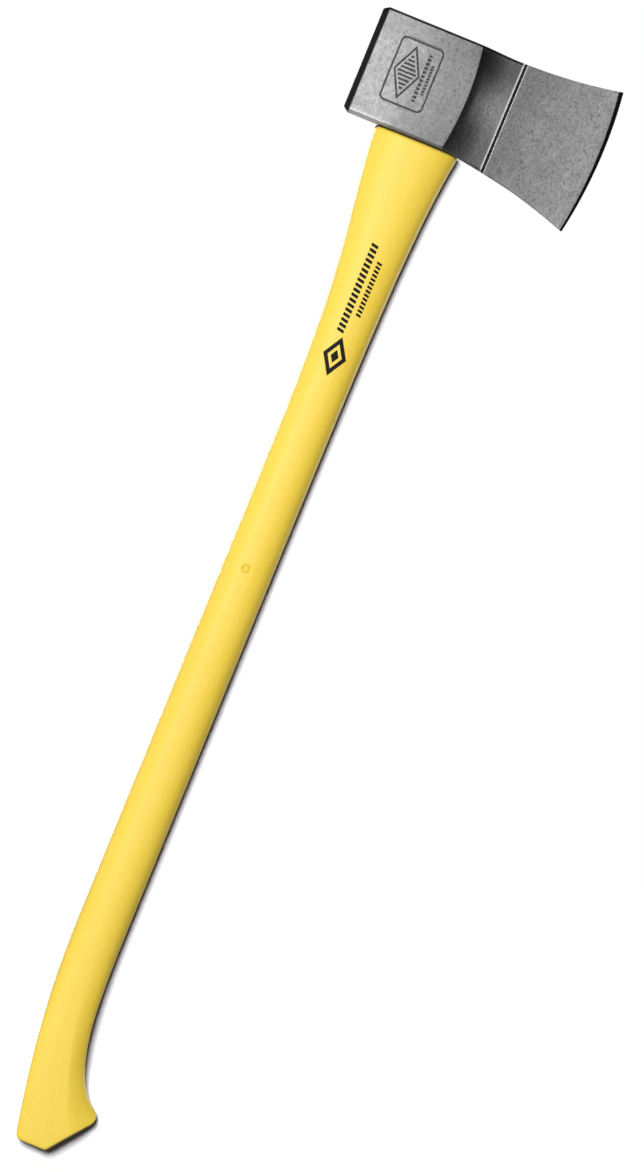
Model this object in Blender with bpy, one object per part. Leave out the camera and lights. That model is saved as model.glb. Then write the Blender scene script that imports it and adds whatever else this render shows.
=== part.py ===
"""Fire axe: a forged flat head on a jacketed fibreglass handle.

Metres, with +Z up along the handle, +X towards the cutting edge and Y across the cheeks. The origin is on
the handle's axis at the underside of the head. Every piece is symmetric about the plane Y = 0 except the two
pin plugs, which are each other's mirror.
"""

import math

import bmesh
import bpy
from mathutils import Vector

# Driving dimensions
OVERALL_LENGTH = 0.914  # 36 in, from the top of the head to the butt
HEAD_HEIGHT = 0.086
POLL_FACE_X = -0.0665
CHEEK = 0.0219  # half the width of the poll block
GAP = 0.0003  # between neighbours that touch on the real axe

# Head: the edge and the step at the end of the cheek are arcs seen from the side
EDGE_RADIUS = 0.377
EDGE_FRONT_X = 0.1317
EDGE_CENTRE_Z = 0.0475
EDGE_LAND = 0.0002  # half the thickness left at the cutting edge
BEVEL_WIDTH = 0.0033
BEVEL_HALF = 0.0017
STEP_RADIUS = 0.239
STEP_FRONT_X = 0.0194
STEP_CENTRE_Z = 0.043
TOP_CURVE_X = 0.045  # where the top edge leaves the straight and flares
TOP_CURVE_RADIUS = 0.418
TOP_DIP = 0.0006
FALL_X = 0.0156  # where the flat underside ends, under the step, and starts to fall
FALL_DEPTH = 0.0046  # by the groove
FALL_POWER = 1.3
BEARD_X = 0.010  # start of the steeper curve that takes over along the blade
BEARD_POWER = 1.7
HEEL_X = 0.125
HEEL_DROP = 0.0235
POLL_CHAMFER = 0.0038
POLL_CORNER = 0.0025
BODY_CHAMFER = 0.0017
BLADE_CHAMFER = 0.0004
ROOT_HALF = 0.0080  # half the thickness of the blade at the groove
HOLLOW_POWER = 2.5

# Groove across both cheeks, behind the blade
GROOVE_FOOT_X = 0.0505
GROOVE_LEAN = 0.0013  # how much further forward its top is
GROOVE_HALF = 0.0008
GROOVE_LIP = 0.0006
GROOVE_DEPTH = 0.0013
GROOVE_DRAFT = 0.0002  # how much each wall leans in

# Eye: (height, half length, half width)
EYE_X = -0.005
EYE_WAIST = 0.028
EYE_LEVELS = (
    (0.0, 0.0315, 0.0125),
    (EYE_WAIST, 0.0305, 0.0119),
    (HEAD_HEIGHT, 0.0330, 0.0135),
)
EYE_POWER = 2.2

# Handle
SHAFT_HALF_X = 0.0194
SHAFT_HALF_Y = 0.0140
SHAFT_POWER = 2.4
SHOULDER_HALF_Y = 0.0165
SHOULDER_TOP = -0.0020
SHOULDER_ROUND = 0.0025
BACK_FLARE = 0.0183
BACK_FLARE_LENGTH = 0.100
FRONT_FLARE = 0.0107
FRONT_FLARE_LENGTH = 0.066
THICKNESS_FLARE_LENGTH = 0.090
TONGUE_WALL = 0.0022  # bond line between the tongue and the waist of the eye
TONGUE_TOP = 0.0846
KEY_DEPTH = 0.0010  # rings cut into the tongue, which key the epoxy
KEY_PITCH = 0.016
KEY_COUNT = 4

# Butt: the foot bends forward from BEND_Z and ends in a flat heel and a slanted sole
BEND_Z = -0.640
BUTT_Z = HEAD_HEIGHT - OVERALL_LENGTH
BUTT_HALF_Y = 0.0150
SOLE_FILLET = 0.0035

# Fibreglass rod inside the handle
CORE_HALF_X = 0.0125
CORE_HALF_Y = 0.0075
CORE_TOP = 0.0840
CORE_FOOT = -0.735

# Plugs in the holes that the core-locating pins leave
PLUG_Z = -0.3555
PLUG_X = -0.0012
PLUG_RADIUS = 0.00275
PLUG_SINK = 0.0003
PLUG_DOME = 0.0004
PLUG_SEGMENTS = 24

SEAL_PROUD = 0.0004

SECTION_SEGMENTS = 18  # along half a section of a handle piece
CHEEK_SEGMENTS = 10  # up the side of the head
SHARP_ANGLE = math.radians(30)


def clear_scene():
    for obj in list(bpy.data.objects):
        bpy.data.objects.remove(obj)


def material(name, colour, roughness, metallic=0.0):
    made = bpy.data.materials.new(name)
    made.use_nodes = True
    shader = made.node_tree.nodes["Principled BSDF"]
    shader.inputs["Base Color"].default_value = (*colour, 1.0)
    shader.inputs["Roughness"].default_value = roughness
    shader.inputs["Metallic"].default_value = metallic
    return made


def lerp(a, b, share):
    return a + (b - a) * share


def smooth(share):
    share = min(max(share, 0.0), 1.0)
    return share * share * (3 - 2 * share)


def mirrored(bm, half_loop):
    """The points of the +Y half of a loop, and their mirror images. A point on Y = 0 is its own."""
    near = [bm.verts.new(point) for point in half_loop]
    far = [v if v.co.y == 0.0 else bm.verts.new((v.co.x, -v.co.y, v.co.z)) for v in near]
    return near, far


def cap(bm, near, far):
    """Closes a mirrored loop with strips that join each point to its mirror image."""
    for corners in zip(near, near[1:], far[1:], far):
        bm.faces.new(list(dict.fromkeys(corners)))


def loft(name, half_loops, look=None, tube=False):
    """A solid through mirrored loops: capped at both ends or, as a tube, joined from the last to the first."""
    bm = bmesh.new()
    halves = [mirrored(bm, loop) for loop in half_loops]
    rings = [list(dict.fromkeys(near + far[::-1])) for near, far in halves]
    following = rings[1:] + rings[:1] if tube else rings[1:]
    for ring, after in zip(rings, following):
        for i in range(len(ring)):
            j = (i + 1) % len(ring)
            bm.faces.new((ring[i], ring[j], after[j], after[i]))
    if not tube:
        cap(bm, *halves[0])
        cap(bm, *halves[-1])
    bmesh.ops.recalc_face_normals(bm, faces=bm.faces)
    return finished(name, bm, look)


def shade(mesh):
    mesh.shade_smooth()
    mesh.set_sharp_from_angle(angle=SHARP_ANGLE)


def finished(name, bm, look=None):
    mesh = bpy.data.meshes.new(name)
    bm.to_mesh(mesh)
    bm.free()
    obj = bpy.data.objects.new(name, mesh)
    bpy.context.scene.collection.objects.link(obj)
    shade(mesh)
    if look:
        mesh.materials.append(look)
    return obj


def cut(obj, cutters):
    """Subtracts the hidden helpers from obj, then marks the sharp edges of what is left."""
    for cutter in cutters:
        cutter.hide_render = True
        cutter.display_type = "WIRE"
        modifier = obj.modifiers.new("cut_" + cutter.name, "BOOLEAN")
        modifier.operation = "DIFFERENCE"
        modifier.solver = "EXACT"
        modifier.object = cutter
    evaluated = obj.evaluated_get(bpy.context.evaluated_depsgraph_get())
    mesh = bpy.data.meshes.new_from_object(evaluated)
    obj.modifiers.clear()
    obj.data = mesh
    shade(mesh)


def oval(centre_x, half_x, half_y, power, z):
    """Half of a superellipse in the plane at z, from its -X end round to its +X end."""
    loop = []
    for i in range(SECTION_SEGMENTS + 1):
        across = -math.cos(math.pi * i / SECTION_SEGMENTS)
        width = (1 - min(abs(across), 1.0) ** power) ** (1 / power)
        loop.append((centre_x + half_x * across, half_y * width, z))
    return loop


# ---------------------------------------------------------------- head


def edge_x(z):
    return EDGE_FRONT_X - EDGE_RADIUS + math.sqrt(EDGE_RADIUS**2 - (z - EDGE_CENTRE_Z) ** 2)


def step_x(z):
    return STEP_FRONT_X - STEP_RADIUS + math.sqrt(STEP_RADIUS**2 - (z - STEP_CENTRE_Z) ** 2)


def groove_x(z):
    return GROOVE_FOOT_X + GROOVE_LEAN * z / HEAD_HEIGHT


def head_top(x):
    dip = TOP_DIP * smooth((x - STEP_FRONT_X) / (TOP_CURVE_X - STEP_FRONT_X))
    run = max(x - TOP_CURVE_X, 0.0)
    return HEAD_HEIGHT - dip + TOP_CURVE_RADIUS - math.sqrt(TOP_CURVE_RADIUS**2 - run**2)


def head_foot(x):
    """z of the underside: flat, then falling to the groove, then along the steeper curve of the beard."""
    if x <= FALL_X:
        return 0.0
    fall = FALL_DEPTH * ((x - FALL_X) / (GROOVE_FOOT_X - FALL_X)) ** FALL_POWER
    beard = HEEL_DROP * ((x - BEARD_X) / (HEEL_X - BEARD_X)) ** BEARD_POWER
    return -fall if x < GROOVE_FOOT_X else -max(fall, beard)


def head_loop(line, half, chamfer, inset=0.0):
    """Half of the head's section along a feature line, which gives x at each height."""
    sides = []
    for i in range(CHEEK_SEGMENTS + 1):
        share = i / CHEEK_SEGMENTS
        z = HEAD_HEIGHT * share
        for _ in range(4):  # the outline's height depends on x, and x on the height
            x = line(z)
            low = head_foot(x) + inset + chamfer
            high = head_top(x) - inset - chamfer
            z = lerp(low, high, share)
        sides.append((x, half, z))
    foot_x, _, foot_z = sides[0]
    top_x, _, top_z = sides[-1]
    foot = (foot_x, half - chamfer, foot_z - chamfer)
    top = (top_x, half - chamfer, top_z + chamfer)
    return [foot, *sides, top]


def poll_loops():
    """The poll face, its chamfer and the flat cheek up to the step."""
    return [
        head_loop(lambda z: POLL_FACE_X, CHEEK - POLL_CHAMFER, BODY_CHAMFER, POLL_CORNER),
        head_loop(lambda z: POLL_FACE_X + POLL_CHAMFER, CHEEK, BODY_CHAMFER),
        head_loop(step_x, CHEEK, BODY_CHAMFER),
    ]


def hollow_loops():
    """The concave fall from the step to the groove."""
    loops = []
    for share in (0.06, 0.14, 0.24, 0.36, 0.50, 0.66, 0.82):
        half = ROOT_HALF + (CHEEK - ROOT_HALF) * (1 - share) ** HOLLOW_POWER
        line = lambda z, share=share: lerp(step_x(z), groove_x(z), share)
        loops.append(head_loop(line, half, BODY_CHAMFER))
    return loops


def groove_loops():
    """The two lips and the floor of the groove."""
    profile = (
        (-GROOVE_HALF - GROOVE_LIP, 0.0),
        (-GROOVE_HALF, GROOVE_LIP / 2),
        (-GROOVE_HALF + GROOVE_DRAFT, GROOVE_DEPTH),
        (GROOVE_HALF - GROOVE_DRAFT, GROOVE_DEPTH),
        (GROOVE_HALF, GROOVE_LIP / 2),
        (GROOVE_HALF + GROOVE_LIP, 0.0),
    )
    loops = []
    for offset, depth in profile:
        line = lambda z, offset=offset: groove_x(z) + offset
        chamfer = BODY_CHAMFER if offset < 0 else BLADE_CHAMFER
        loops.append(head_loop(line, ROOT_HALF - depth, chamfer))
    return loops


def blade_loops():
    """The flat taper of the blade, the sharpened bevel and the cutting edge."""
    loops = []
    for share in (0.25, 0.5, 0.75, 1.0):
        half = lerp(ROOT_HALF, BEVEL_HALF, share)
        line = lambda z, share=share: lerp(groove_x(z), edge_x(z) - BEVEL_WIDTH, share)
        loops.append(head_loop(line, half, BLADE_CHAMFER))
    loops.append(head_loop(edge_x, EDGE_LAND, EDGE_LAND / 2))
    return loops


def eye_section(z):
    """(half length, half width) of the eye at a height."""
    (z0, long0, wide0), (z1, long1, wide1) = EYE_LEVELS[:2] if z <= EYE_WAIST else EYE_LEVELS[1:]
    share = (z - z0) / (z1 - z0)
    return lerp(long0, long1, share), lerp(wide0, wide1, share)


def build_head(steel):
    loops = poll_loops() + hollow_loops() + groove_loops() + blade_loops()
    head = loft("axe_head", loops, steel)
    overrun = 0.004
    eye = []
    for z in (-overrun, EYE_WAIST, HEAD_HEIGHT + overrun):
        long, wide = eye_section(z)
        eye.append(oval(EYE_X, long, wide, EYE_POWER, z))
    cut(head, [loft("eye_cutter", eye)])


# ---------------------------------------------------------------- handle


def back_edge(z):
    """x of the handle's rear edge, above the bend."""
    return -SHAFT_HALF_X - BACK_FLARE * math.exp(-((z / BACK_FLARE_LENGTH) ** 2))


def front_edge(z):
    """x of the handle's front edge, above the bend."""
    return SHAFT_HALF_X + FRONT_FLARE * math.exp(z / FRONT_FLARE_LENGTH)


def shaft_half_y(z):
    swell = math.exp(-((z / THICKNESS_FLARE_LENGTH) ** 2))
    return lerp(SHAFT_HALF_Y, SHOULDER_HALF_Y, swell)


def shaft_loop(z, shrink=0.0):
    """Half of the handle's section at z, drawn in by shrink on every side."""
    back, front = back_edge(z) + shrink, front_edge(z) - shrink
    half_y = shaft_half_y(z) - shrink
    return oval((back + front) / 2, (front - back) / 2, half_y, SHAFT_POWER, z)


def tongue_section():
    """(half length, half width) of the tongue: the waist of the eye less the bond."""
    long, wide = eye_section(EYE_WAIST)
    return long - TONGUE_WALL, wide - TONGUE_WALL


def tongue_levels():
    """(z, depth below the tongue's surface), with a pair of levels for each flank of a key ring."""
    levels = [(TONGUE_TOP, 0.0)]
    flank = KEY_DEPTH
    for i in range(KEY_COUNT):
        top = TONGUE_TOP - KEY_PITCH * (i + 0.5)
        foot = top - KEY_PITCH / 2
        levels += [(top, 0.0), (top - flank, KEY_DEPTH), (foot + flank, KEY_DEPTH), (foot, 0.0)]
    levels.append((SHOULDER_TOP, 0.0))
    return levels


def tongue_loops(offset=0.0):
    """The tongue's loops from the top down, moved out by offset."""
    long, wide = tongue_section()
    return [
        oval(EYE_X, long - depth + offset, wide - depth + offset, EYE_POWER, z)
        for z, depth in tongue_levels()
    ]


def bezier(points, share):
    """A point on the cubic curve with these four control points."""
    a, b, c, d = (Vector(p) for p in points)
    rest = 1 - share
    return a * rest**3 + b * 3 * rest**2 * share + c * 3 * rest * share**2 + d * share**3


BACK_FOOT = ((-SHAFT_HALF_X, BEND_Z), (-0.0198, -0.710), (-0.0150, -0.755), (-0.0022, BUTT_Z + 0.011))
FRONT_FOOT = ((SHAFT_HALF_X, BEND_Z), (0.0188, -0.748), (0.0270, -0.772), (0.0486, -0.7856))
# The sole seen from the side, from the rear edge's end to the front edge's end
SOLE = (
    ((-0.0022, BUTT_Z + 0.011), (-0.0010, BUTT_Z + 0.003), (-0.0002, BUTT_Z), (0.0050, BUTT_Z)),
    ((0.0050, BUTT_Z), (0.0120, BUTT_Z), (0.0170, BUTT_Z), (0.0225, BUTT_Z)),
    ((0.0225, BUTT_Z), (0.0248, BUTT_Z), (0.0256, BUTT_Z + 0.0008), (0.0270, BUTT_Z + 0.0026)),
    ((0.0270, BUTT_Z + 0.0026), (0.0350, -0.8149), (0.0430, -0.8053), (0.0500, -0.7967)),
    ((0.0500, -0.7967), (0.0528, -0.7930), (0.0525, -0.7882), (0.0486, -0.7856)),
)


def sole_point(share):
    """A point on the sole's outline, by its share of the outline's length."""
    fine = [bezier(piece, i / 16) for piece in SOLE for i in range(16)] + [Vector(SOLE[-1][-1])]
    runs = [(b - a).length for a, b in zip(fine, fine[1:])]
    left = share * sum(runs)
    for a, b, run in zip(fine, fine[1:], runs):
        if left <= run:
            return a.lerp(b, left / run)
        left -= run
    return fine[-1]


def foot_loop(along, thinner=0.0):
    """Half of a section of the foot. The sections turn from level, at 0, to the sole's outline, at 1."""
    left, right = bezier(BACK_FOOT, along), bezier(FRONT_FOOT, along)
    top_left, top_right = Vector(BACK_FOOT[0]), Vector(FRONT_FOOT[0])
    low_left, low_right = Vector(BACK_FOOT[-1]), Vector(FRONT_FOOT[-1])
    half_y = lerp(SHAFT_HALF_Y, BUTT_HALF_Y, smooth(along)) * (1 - thinner)
    loop = []
    for i in range(SECTION_SEGMENTS + 1):
        across = -math.cos(math.pi * i / SECTION_SEGMENTS)
        share = (across + 1) / 2
        level = top_left.lerp(top_right, share) * (1 - along) + sole_point(share) * along
        sides = left.lerp(right, share)
        low = low_left.lerp(low_right, share)
        corners = top_left.lerp(top_right, share) * (1 - along) + low * along
        point = level + sides - corners
        width = (1 - min(abs(across), 1.0) ** SHAFT_POWER) ** (1 / SHAFT_POWER)
        loop.append((point.x, half_y * width, point.y))
    return loop


def shoulder_loops():
    """The flat shoulder under the seal and its rounded rim."""
    loops = []
    for turn in (0.0, 0.5, 1.0):
        angle = math.pi / 2 * turn
        z = SHOULDER_TOP - SHOULDER_ROUND * (1 - math.cos(angle))
        loops.append(shaft_loop(z, SHOULDER_ROUND * (1 - math.sin(angle))))
    return loops


def shaft_loops():
    heights = [-0.012, -0.026, -0.042, -0.060, -0.080, -0.102, -0.128, -0.160, -0.200, -0.260]
    heights += [-0.340, -0.372, -0.460, -0.550]
    return [shaft_loop(z) for z in heights]


def foot_loops():
    """The foot from the bend to the sole, whose rim is rounded over."""
    loops = [foot_loop(along) for along in (0.0, 0.15, 0.3, 0.42, 0.54, 0.64, 0.73, 0.81, 0.88, 0.93)]
    reach = 0.030  # about how far the sections move over the last tenth of the foot
    for turn in (0.0, 0.35, 0.7, 1.0):
        angle = math.pi / 2 * turn
        back = SOLE_FILLET * (1 - math.sin(angle)) / reach * 0.1
        thinner = SOLE_FILLET * (1 - math.cos(angle)) / BUTT_HALF_Y
        loops.append(foot_loop(1 - back, thinner))
    return loops


def core_loops(offset, top, foot):
    return [oval(0.0, CORE_HALF_X + offset, CORE_HALF_Y + offset, 2.0, z) for z in (top, foot)]


def build_jacket(yellow):
    """One moulding: tongue, shoulder, shaft and foot, with a blind hole for the core open at the tongue."""
    hole = core_loops(GAP, TONGUE_TOP, CORE_FOOT - GAP)
    outside = tongue_loops() + shoulder_loops() + shaft_loops() + foot_loops()
    jacket = loft("handle_jacket", hole[::-1] + outside, yellow)
    beyond = SHAFT_HALF_Y + 0.004
    holes = [pin("plug_hole_cutter", side, PLUG_RADIUS + GAP, CORE_HALF_Y, beyond) for side in (-1, 1)]
    cut(jacket, holes)


def pin(name, side, radius, inner, outer, dome=0.0, look=None):
    """A round pin along Y on one side of the handle, from inner to outer, with its outer end domed."""
    bm = bmesh.new()
    profile = [(0.0, inner), (radius, inner), (radius, outer - dome)]
    if dome:
        profile.append((radius * 0.6, outer - dome / 4))
    profile.append((0.0, outer))
    points = [bm.verts.new((PLUG_X + r, side * y, PLUG_Z)) for r, y in profile]
    edges = [bm.edges.new(pair) for pair in zip(points, points[1:])]
    bmesh.ops.spin(
        bm,
        geom=points + edges,
        cent=(PLUG_X, 0.0, PLUG_Z),
        axis=(0.0, 1.0, 0.0),
        angle=2 * math.pi,
        steps=PLUG_SEGMENTS,
        use_merge=True,
    )
    bmesh.ops.remove_doubles(bm, verts=bm.verts, dist=1e-6)
    bmesh.ops.recalc_face_normals(bm, faces=bm.faces)
    return finished(name, bm, look)


def build_plugs(yellow):
    outer = SHAFT_HALF_Y - PLUG_SINK
    for side, name in ((-1, "core_pin_plug_front"), (1, "core_pin_plug_back")):
        pin(name, side, PLUG_RADIUS, CORE_HALF_Y + GAP, outer, PLUG_DOME, yellow)


def build_core(fibreglass):
    loft("handle_core", core_loops(0.0, CORE_TOP, CORE_FOOT), fibreglass)


def build_epoxy(resin):
    """The cast sleeve between the tongue and the eye."""
    low, high = GAP, TONGUE_TOP + 0.0004
    outer = []
    for z in (low, EYE_WAIST, high):
        long, wide = eye_section(z)
        outer.append(oval(EYE_X, long - GAP, wide - GAP, EYE_POWER, z))
    inner = []
    for (z, _), loop in zip(tongue_levels(), tongue_loops(GAP)):
        level = min(max(z, low), high)
        inner.append([(x, y, level) for x, y, _ in loop])
    inner[0] = [(x, y, high) for x, y, _ in inner[0]]
    loft("eye_epoxy", outer + inner, resin, tube=True)


def build_seal(rubber):
    """The ring that dams the eye while the epoxy cures, squeezed between the shoulder and the head."""
    foot = SHOULDER_TOP + GAP
    long, wide = tongue_section()
    outer = shaft_loop(foot, SHOULDER_ROUND - SEAL_PROUD)
    inner = oval(EYE_X, long + GAP, wide + GAP, EYE_POWER, foot)
    loops = [outer, under_head(outer), under_head(inner), inner]
    loft("shoulder_seal", loops, rubber, tube=True)


def under_head(loop):
    """The loop moved up to just below the head."""
    return [(x, y, head_foot(x) - GAP) for x, y, _ in loop]


def main():
    clear_scene()
    build_head(material("forged_steel", (0.40, 0.40, 0.41), 0.45, 1.0))
    yellow = material("yellow_jacket", (0.93, 0.68, 0.07), 0.45)
    build_jacket(yellow)
    build_plugs(yellow)
    build_core(material("fibreglass", (0.58, 0.55, 0.38), 0.5))
    build_epoxy(material("epoxy", (0.10, 0.07, 0.03), 0.25))
    build_seal(material("black_rubber", (0.015, 0.015, 0.015), 0.7))


main()
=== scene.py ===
"""The looks of the fire axe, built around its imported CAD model.

Metres, in the CAD frame: +Z up along the handle, +X towards the cutting edge, Y across the cheeks, with the
origin on the handle's axis at the underside of the head. The camera looks along +Y, rolled so that the handle
leans. Every shape is symmetric about Y = 0, but for the card behind the handle.
"""

import math

import bmesh
import bpy
import numpy as np
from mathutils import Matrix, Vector


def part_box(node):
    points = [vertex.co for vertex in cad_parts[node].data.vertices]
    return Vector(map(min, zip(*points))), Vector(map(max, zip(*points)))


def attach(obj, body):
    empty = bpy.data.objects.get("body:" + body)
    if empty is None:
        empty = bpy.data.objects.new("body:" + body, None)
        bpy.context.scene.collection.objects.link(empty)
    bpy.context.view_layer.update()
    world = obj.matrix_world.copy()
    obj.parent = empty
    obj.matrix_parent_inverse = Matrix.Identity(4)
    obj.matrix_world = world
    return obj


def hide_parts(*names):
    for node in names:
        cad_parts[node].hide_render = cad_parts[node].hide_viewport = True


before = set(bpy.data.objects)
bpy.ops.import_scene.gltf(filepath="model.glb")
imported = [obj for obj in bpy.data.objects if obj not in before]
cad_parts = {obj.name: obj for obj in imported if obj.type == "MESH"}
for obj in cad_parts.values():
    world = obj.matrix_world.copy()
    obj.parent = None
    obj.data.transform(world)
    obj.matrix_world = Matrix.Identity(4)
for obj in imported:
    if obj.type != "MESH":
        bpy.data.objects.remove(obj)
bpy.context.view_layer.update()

MM = 0.001

# ---- the axe's own sizes, taken from the CAD nodes

HEAD_LOW, HEAD_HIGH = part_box("axe_head")
JACKET_LOW, JACKET_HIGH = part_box("handle_jacket")
CORE_LOW, CORE_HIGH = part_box("handle_core")
EPOXY_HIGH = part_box("eye_epoxy")[1]
PLUG_LOW, PLUG_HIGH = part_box("core_pin_plug_back")

POLL_FACE_X = HEAD_LOW.x
CHEEK = HEAD_HIGH.y
EDGE_FRONT_X = HEAD_HIGH.x
BUTT_Z = JACKET_LOW.z
TONGUE_TOP = JACKET_HIGH.z
PLUG_X = (PLUG_LOW.x + PLUG_HIGH.x) / 2
PLUG_Z = (PLUG_LOW.z + PLUG_HIGH.z) / 2
PLUG_RADIUS = (PLUG_HIGH.x - PLUG_LOW.x) / 2

# Head
HEAD_HEIGHT = 86.0 * MM
EDGE_RADIUS = 377 * MM
EDGE_CENTRE_Z = 47.5 * MM
EDGE_LAND = 0.12 * MM
BEVEL_WIDTH_LOW = 1.9 * MM
BEVEL_WIDTH_HIGH = 3.4 * MM
BEVEL_HALF = 1.7 * MM
STEP_RADIUS = 239 * MM
STEP_FRONT_X = 19.4 * MM
STEP_CENTRE_Z = 43 * MM
TOP_CURVE_X = 45 * MM
TOP_CURVE_RADIUS = 418 * MM
TOP_DIP = 0.6 * MM
FALL_X = 15.6 * MM
FALL_DEPTH = 4.6 * MM
FALL_POWER = 1.3
BEARD_X = 10 * MM
BEARD_POWER = 1.7
HEEL_X = 125 * MM
HEEL_DROP = 23.5 * MM
POLL_CHAMFER = 4.2 * MM
POLL_CORNER = 2.5 * MM
POLL_ROUND = 0.45 * MM
POLL_SHADE_RUN = 1.2 * MM
BODY_CHAMFER = 1.7 * MM
BLADE_CHAMFER = 0.4 * MM
RIM_ROUND = 0.3 * MM
CROWN = 0.8 * MM
CROWN_CENTRE_X = -24 * MM
CROWN_REACH = 43 * MM
ROOT_HALF = 8.0 * MM
HOLLOW_POWER = 2.5
BLADE_HOLLOW = 0.35
GROOVE_FOOT_X = 51.0 * MM
GROOVE_LEAN = 0.6 * MM
GROOVE_HALF = 1.10 * MM
GROOVE_LIP = 0.60 * MM
GROOVE_DEPTH = 1.5 * MM
GROOVE_WALL_RUN = 0.06 * MM
GROOVE_ROUND = 0.10 * MM
LIP_RISE = 0.05 * MM
# offset, drop and painted shade (black) of the points round the step's rounded nose
STEP_NOSE = ((-0.30 * MM, 0.01 * MM, 0.33), (-0.08 * MM, 0.09 * MM, 0.30), (0.16 * MM, 0.28 * MM, 0.90))
CHEEK_END = 0.8 * MM
BLADE_END = 0.3 * MM
EYE_X = -5 * MM
EYE_WAIST = 28 * MM
EYE_RIM = 1.0 * MM
EYE_LEVELS = (
    (0.0, 31.5 * MM, 12.5 * MM),
    (EYE_WAIST, 30.5 * MM, 11.9 * MM),
    (HEAD_HEIGHT, 33.0 * MM, 13.5 * MM),
)
EYE_POWER = 2.2

# Where shade and dark reflections (black) and highlights (bright) are painted on the steel: amounts from 0 to
# 1, at places given as x, z or a share of a length
# painted shade on the cheek, darker towards the step
CHEEK_BLACK, CHEEK_BLACK_X, CHEEK_BLACK_RUN = 0.33, -52 * MM, 60 * MM
# painted shade towards the top of the poll, cheek and hollow
TOP_SHADE_BLACK, TOP_SHADE_Z, TOP_SHADE_RUN = 0.09, 62 * MM, 12 * MM
# painted shade in the hollow: darkest beside the step, darker again near the groove
HOLLOW_BLACK, HOLLOW_BLACK_STEP, HOLLOW_BLACK_GROOVE = 0.47, 0.34, 0.15
# painted shade on the blade, darker beside the groove
BLADE_BLACK, BLADE_BLACK_GROOVE = 0.14, 0.26
# painted shade in the badge's engraved lines
ENGRAVED_BLACK = 0.8
# painted highlight across the middle of the hollow, which also lightens its painted shade
SHEEN, SHEEN_BRIGHT, SHEEN_Z, SHEEN_REACH = 0.9, 0.36, 43 * MM, 15 * MM
# painted highlight low on the poll's cheeks, and painted reflection of light from below on its lower chamfer
LOW_SHINE_X, LOW_SHINE_RUN, LOW_SHINE_Z, LOW_SHINE_RISE = -24 * MM, 12 * MM, 6.5 * MM, 4.5 * MM
LOW_SHINE_SIDE, LOW_SHINE_FOOT = 0.5, 1.3

# Handle
SHAFT_HALF_X = 19.4 * MM
SHAFT_HALF_Y = 14.0 * MM
SHAFT_POWER = 2.4
FOOT_POWER = 2.8
FOOT_FRONT_POWER = 1.5
FOOT_FLAT = 0.28
FOOT_TURN = 1.6
SHOULDER_HALF_Y = 16.5 * MM
SHOULDER_TOP = -1.4 * MM
SHOULDER_ROUND = 2.3 * MM
BACK_FLARE = 18.3 * MM
BACK_FLARE_LENGTH = 102 * MM
BACK_FLARE_POWER = 1.7
FRONT_FLARE = 10.7 * MM
FRONT_FLARE_LENGTH = 66 * MM
THICKNESS_FLARE_LENGTH = 90 * MM
TONGUE_WALL = 2.2 * MM
BEND_Z = -640 * MM
BUTT_HALF_Y = 15.0 * MM
SOLE_FILLET = 3.5 * MM
SOLE_FILLET_SHARE = 0.1 / (30 * MM)
PARTING_RISE = 0.18 * MM
PARTING_HALF = 0.30 * MM
DIMPLE_RADIUS = 3.9 * MM
DIMPLE_DEPTH = 0.85 * MM
HOLE_CLEARANCE = 0.08 * MM
CORE_CLEARANCE = 0.3 * MM
EPOXY_CLEARANCE = 0.3 * MM
SEAL_CLEARANCE = 0.12 * MM
SEAL_BEAD = 2.3
SEAL_BEAD_DROP = 4.5 * MM

# How finely the pieces are meshed
CHEEK_FINE = 0.36 * MM
CHEEK_COARSE = 2.4 * MM
HOLLOW_SECTIONS = 30
BLADE_SECTIONS = 24
SECTION_SEGMENTS = 110
TURNED_SEGMENTS = 64


def lerp(a, b, share):
    return a + (b - a) * share


def smooth(share):
    share = np.clip(share, 0.0, 1.0)
    return share * share * (3 - 2 * share)


# ---- mesh helpers


def mesh_object(name, points, faces):
    mesh = bpy.data.meshes.new(name)
    mesh.from_pydata(np.asarray(points, float).tolist(), [], faces)
    obj = bpy.data.objects.new(name, mesh)
    bpy.context.scene.collection.objects.link(obj)
    return obj


def face_outwards(obj):
    bm = bmesh.new()
    bm.from_mesh(obj.data)
    bmesh.ops.recalc_face_normals(bm, faces=bm.faces)
    bm.to_mesh(obj.data)
    bm.free()


def shade(obj, angle=40):
    obj.data.shade_smooth()
    obj.data.set_sharp_from_angle(angle=math.radians(angle))


def ring_faces(first, second, count):
    return [
        (first + i, first + (i + 1) % count, second + (i + 1) % count, second + i)
        for i in range(count)
    ]


def strip_cap(first, near, count):
    """Faces that close a ring whose first `near` points are mirrored, in reverse, by the others."""
    doubled_start = count == 2 * near
    mirror = [first + (count - i - doubled_start) % count for i in range(near)]
    quads = [(first + i, first + i + 1, mirror[i + 1], mirror[i]) for i in range(near - 1)]
    return [tuple(dict.fromkeys(corners)) for corners in quads]


def mirrored_ring(half):
    """A closed ring from the points of its -Y half. End points on Y = 0 aren't doubled."""
    inner = half if abs(half[0][1]) > 1e-9 else half[1:]
    inner = inner if abs(half[-1][1]) > 1e-9 else inner[:-1]
    return np.vstack([half, inner[::-1] * (1, -1, 1)])


def loft(name, halves, closed=False):
    """A solid through mirrored rings: capped, or joined from the last ring to the first."""
    rings = [mirrored_ring(np.asarray(half)) for half in halves]
    count, near = len(rings[0]), len(halves[0])
    faces = []
    for i in range(len(rings) - (0 if closed else 1)):
        faces += ring_faces(i * count, (i + 1) % len(rings) * count, count)
    if not closed:
        faces += strip_cap(0, near, count)
        faces += strip_cap((len(rings) - 1) * count, near, count)
    obj = mesh_object(name, np.vstack(rings), faces)
    face_outwards(obj)
    shade(obj)
    return obj


def point_attribute(obj, name, values):
    attribute = obj.data.attributes.new(name, "FLOAT", "POINT")
    attribute.data.foreach_set("value", np.asarray(values, np.float32))


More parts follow.
